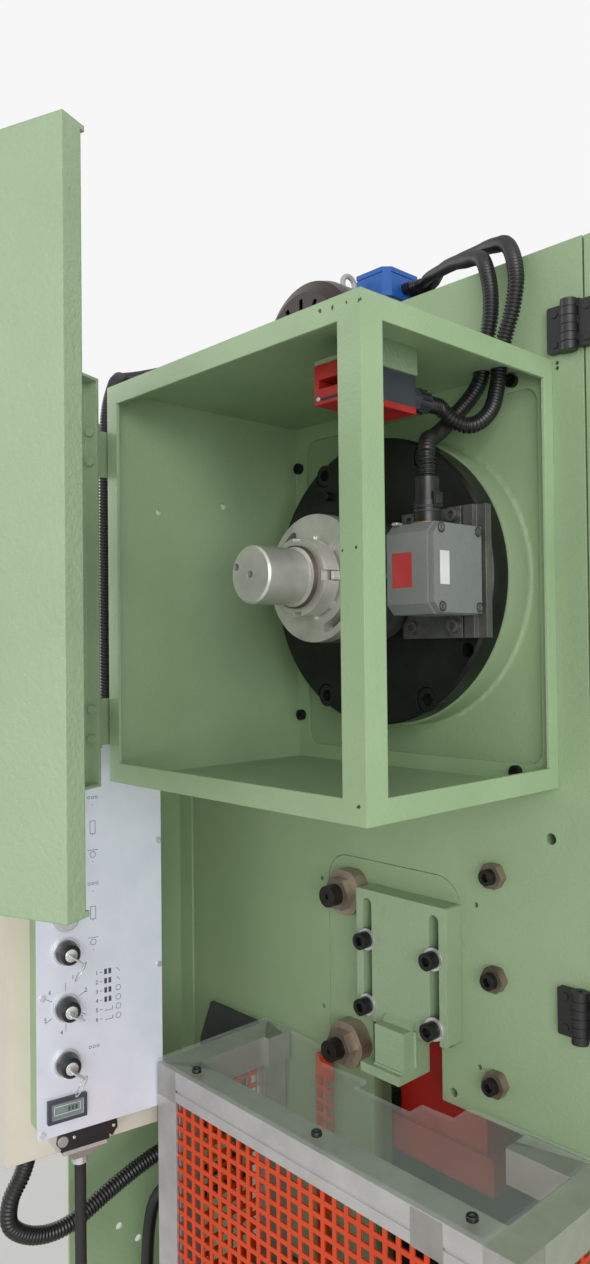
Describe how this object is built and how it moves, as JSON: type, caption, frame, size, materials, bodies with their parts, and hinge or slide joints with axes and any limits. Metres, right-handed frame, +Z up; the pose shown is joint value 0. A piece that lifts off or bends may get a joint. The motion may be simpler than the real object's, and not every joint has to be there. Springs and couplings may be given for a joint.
{
  "type": "mechanical stamping press",
  "caption": "Eccentric stamping press with an open crank guard box, its hinged door, a perforated tool guard, side control panel and belt drive on top.",
  "frame": {"origin": "centre of the floor bolt pattern, on the floor", "axes": "+Z up, +Y from the face into the machine, +X to the right of someone facing it"},
  "size_m": [1.12, 1.3852, 2.182],
  "materials": {
    "green": "hammered semi-gloss paint",
    "green_dark": "semi-gloss paint",
    "black_steel": "blackened, oiled",
    "steel": "turned and ground",
    "dark_steel": "machined, oiled",
    "brown_steel": "browned by oil",
    "bronze": "machined",
    "red_paint": "gloss paint",
    "grey_cast": "textured grey paint",
    "red_plastic": "satin",
    "black_plastic": "satin",
    "dark_plastic": "satin",
    "blue_paint": "satin paint",
    "brown_black": "gloss paint",
    "motor_grey": "satin paint",
    "rubber": "satin",
    "aluminium": "anodised",
    "orange_paint": "satin paint",
    "clear": "clear plastic sheet",
    "beige_paint": "satin paint",
    "plate": "printed satin film",
    "chrome": "polished"
  },
  "bodies": {
    "frame": {"front_plate": "green", "frame_body": "green", "ram_cover": "green", "bolster": "dark_steel", "guide_housing": "red_paint", "gibs": "bronze", "gib_screws": "black_steel", "adjusting_bolts": "brown_steel", "main_bearings": "bronze", "bearing_cover": "black_steel", "socket_screws": "black_steel", "motor": "motor_grey", "fan_cowl": "brown_black", "terminal_box": "blue_paint", "drive_belts": "rubber", "drive_guard": "green", "guard_box": "green", "box_hinges": "dark_steel", "interlock_body": "dark_plastic", "interlock_head": "red_plastic", "interlock_bracket": "green", "cam_switch": "grey_cast", "cam_switch_lid": "grey_cast", "cam_switch_base": "dark_steel", "service_hinges": "black_plastic", "stop_washers": "chrome", "tool_guard_frame": "aluminium", "tool_guard_sheets": "orange_paint", "tool_guard_top": "clear", "wing_plate": "green", "mounting_plate": "grey_cast", "cabinet": "beige_paint", "panel_plate": "plate", "panel_fittings": "chrome", "cable_glands": "black_plastic", "conduits": "black_plastic", "loop_conduit": "black_plastic", "connector_cable": "rubber"},
    "crank": {"crankshaft": "steel", "cam_hub": "dark_steel", "index_flange": "steel", "tab_washer": "steel", "locknut": "steel", "clutch_plate": "dark_steel"},
    "connecting_rod": {"conrod": "dark_steel", "conrod_bush": "bronze", "ball_screw": "steel"},
    "ram": {"ram": "red_paint"},
    "flywheel": {"flywheel": "green_dark"},
    "motor_pulley": {"motor_pulley": "dark_steel"},
    "guard_door": {"guard_door": "green", "door_hinges": "dark_steel", "interlock_key": "steel"},
    "service_door": {"service_door": "green", "service_door_hinges": "black_plastic"},
    "stop_bracket": {"stop_bracket": "green"},
    "cam_plunger": {"cam_plunger": "steel"},
    "key_top": {"key_rotor_top": "dark_plastic"},
    "selector": {"selector_rotor": "dark_plastic"},
    "key_bottom": {"key_rotor_bottom": "dark_plastic"}
  },
  "joints": [
    {"name": "crank_turn", "type": "hinge", "parent": "frame", "child": "crank", "pos_m": [0, -0.154, 1.625], "axis": [0, 1, 0], "range_deg": [0, 180]},
    {"name": "rod_swing", "type": "hinge", "parent": "crank", "child": "connecting_rod", "pos_m": [0, -0.154, 1.65], "axis": [0, 1, 0], "range_deg": [-180, 0]},
    {"name": "ram_slide", "type": "slide", "parent": "frame", "child": "ram", "axis": [0, 0, 1], "range_m": [-0.05, 0]},
    {"name": "flywheel_spin", "type": "hinge", "parent": "frame", "child": "flywheel", "pos_m": [0, 0.36, 1.625], "axis": [0, 1, 0], "continuous": true},
    {"name": "motor_spin", "type": "hinge", "parent": "frame", "child": "motor_pulley", "pos_m": [-0.39, 0.36, 2.04], "axis": [0, 1, 0], "continuous": true},
    {"name": "guard_door_swing", "type": "hinge", "parent": "frame", "child": "guard_door", "pos_m": [-0.1872, -0.58, 1.625], "axis": [0, 0, 1], "range_deg": [-50, 68.4]},
    {"name": "service_door_swing", "type": "hinge", "parent": "frame", "child": "service_door", "pos_m": [0.2035, -0.289, 1.52], "axis": [0, 0, -1], "range_deg": [0, 85]},
    {"name": "stop_bracket_slide", "type": "slide", "parent": "frame", "child": "stop_bracket", "axis": [0, 0, 1], "range_m": [-0.035, 0.006]},
    {"name": "cam_plunger_press", "type": "slide", "parent": "frame", "child": "cam_plunger", "axis": [1, 0, 0], "range_m": [0, 0.004], "stiffness_N_per_m": 500},
    {"name": "key_top_turn", "type": "hinge", "parent": "frame", "child": "key_top", "pos_m": [-0.25883, -0.55727, 1.2264], "axis": [0.9842, -0.1771, 0], "range_deg": [0, 90]},
    {"name": "selector_turn", "type": "hinge", "parent": "frame", "child": "selector", "pos_m": [-0.25883, -0.55727, 1.1652], "axis": [0.9842, -0.1771, 0], "range_deg": [0, 300]},
    {"name": "key_bottom_turn", "type": "hinge", "parent": "frame", "child": "key_bottom", "pos_m": [-0.25883, -0.55727, 1.1051], "axis": [0.9842, -0.1771, 0], "range_deg": [0, 90]}
  ],
  "couplings": [
    {"joint": "rod_swing", "follows": "crank_turn", "ratio": -1},
    {"joint": "ram_slide", "follows": "crank_turn", "m_per_rad": -0.015915},
    {"joint": "motor_spin", "follows": "flywheel_spin", "ratio": 5}
  ]
}
